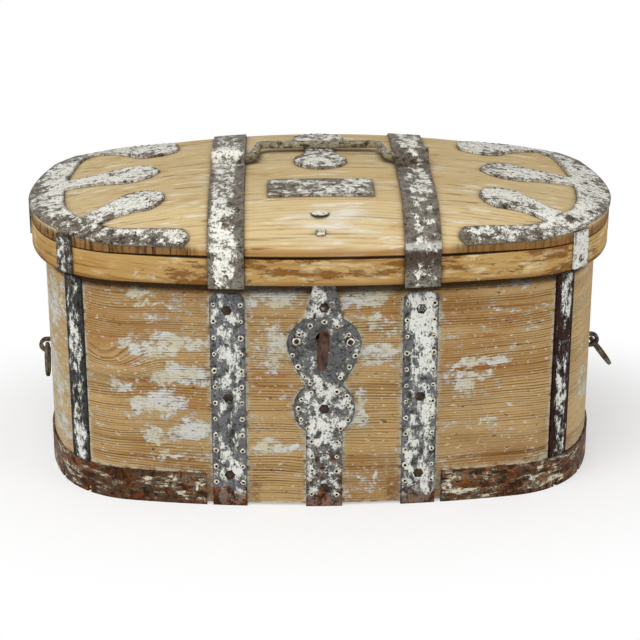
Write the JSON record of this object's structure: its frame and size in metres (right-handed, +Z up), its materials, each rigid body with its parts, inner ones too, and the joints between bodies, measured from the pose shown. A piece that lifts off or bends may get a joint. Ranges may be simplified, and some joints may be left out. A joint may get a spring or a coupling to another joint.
{
  "type": "strongbox",
  "caption": "Old oval bentwood strongbox in pine, bound with forged iron straps, with a carved overhanging lid, drop handle, heart-topped lock plate and key.",
  "frame": {"origin": "middle of the footprint, on the floor", "axes": "+X along the box towards its right end seen from the lock, +Y from the lock face to the hinge face, +Z up"},
  "size_m": [0.614, 0.3835, 0.3272],
  "materials": {
    "body_wood": "old bare pine, worn",
    "bottom_wood": "old bare pine",
    "lid_wood": "old bare pine, hand polished",
    "rim_wood": "old bare pine, stained in patches",
    "body_iron": "forged iron with worn white paint",
    "lid_iron": "forged iron, brown with age",
    "foot_iron": "forged iron, rusted at the lower edge",
    "lock_plate_iron": "forged iron with worn white paint",
    "lock_iron": "dark forged iron",
    "handle_iron": "dark forged iron",
    "key_iron": "rusted iron",
    "nail_iron": "forged iron"
  },
  "bodies": {
    "box": {"body_wall": "body_wood", "bottom_board": "bottom_wood", "body_strap_left": "body_iron", "body_strap_right": "body_iron", "hinge_pins": "body_iron", "base_band_left": "foot_iron", "base_band_right": "foot_iron", "corner_strap_front_left": "body_iron", "corner_strap_back_left": "body_iron", "corner_strap_front_right": "body_iron", "corner_strap_back_right": "body_iron", "end_eyes": "handle_iron", "lock_plate": "lock_plate_iron", "lock_case": "lock_iron", "bolt_guides": "lock_iron", "bolt_spring": "lock_iron", "body_strap_nails": "nail_iron", "lock_plate_nails": "nail_iron", "lock_case_nails": "lock_iron"},
    "lid": {"lid_board": "lid_wood", "lid_rim": "rim_wood", "lid_strap_left": "lid_iron", "lid_strap_right": "lid_iron", "lid_end_band_left": "lid_iron", "lid_end_band_right": "lid_iron", "lid_tab_front_left": "lid_iron", "lid_tab_back_left": "lid_iron", "lid_tab_end_left": "lid_iron", "lid_tab_front_right": "lid_iron", "lid_tab_back_right": "lid_iron", "lid_tab_end_right": "lid_iron", "name_plate": "lid_iron", "handle_rest": "lid_iron", "handle_staples": "lid_iron", "lid_hasp": "lock_iron", "hasp_rivet": "nail_iron", "lid_square_nail": "nail_iron"},
    "handle": {"lid_handle": "handle_iron"},
    "ring_left": {"end_ring_left": "handle_iron"},
    "ring_right": {"end_ring_right": "handle_iron"},
    "key": {"key": "key_iron"},
    "bolt": {"lock_bolt": "lock_iron"}
  },
  "joints": [
    {"name": "lid_hinge", "type": "hinge", "parent": "box", "child": "lid", "pos_m": [0, 0.1655, 0.2315], "axis": [-1, 0, 0], "range_deg": [0, 105]},
    {"name": "handle_swing", "type": "hinge", "parent": "lid", "child": "handle", "pos_m": [0, 0, 0.319], "axis": [1, 0, 0], "range_deg": [0, 172]},
    {"name": "ring_left_swing", "type": "hinge", "parent": "box", "child": "ring_left", "pos_m": [-0.2905, 0, 0.113], "axis": [0, 1, 0], "range_deg": [0, 170]},
    {"name": "ring_right_swing", "type": "hinge", "parent": "box", "child": "ring_right", "pos_m": [0.2905, 0, 0.113], "axis": [0, -1, 0], "range_deg": [-38, 132]},
    {"name": "key_turn", "type": "hinge", "parent": "box", "child": "key", "pos_m": [-0.002, -0.16, 0.181], "axis": [0, 1, 0], "range_deg": [0, 236]},
    {"name": "bolt_slide", "type": "slide", "parent": "box", "child": "bolt", "axis": [1, 0, 0], "range_m": [0, 0.0141]}
  ],
  "couplings": [
    {"joint": "bolt_slide", "follows": "key_turn", "m_per_rad": 0.003399}
  ]
}
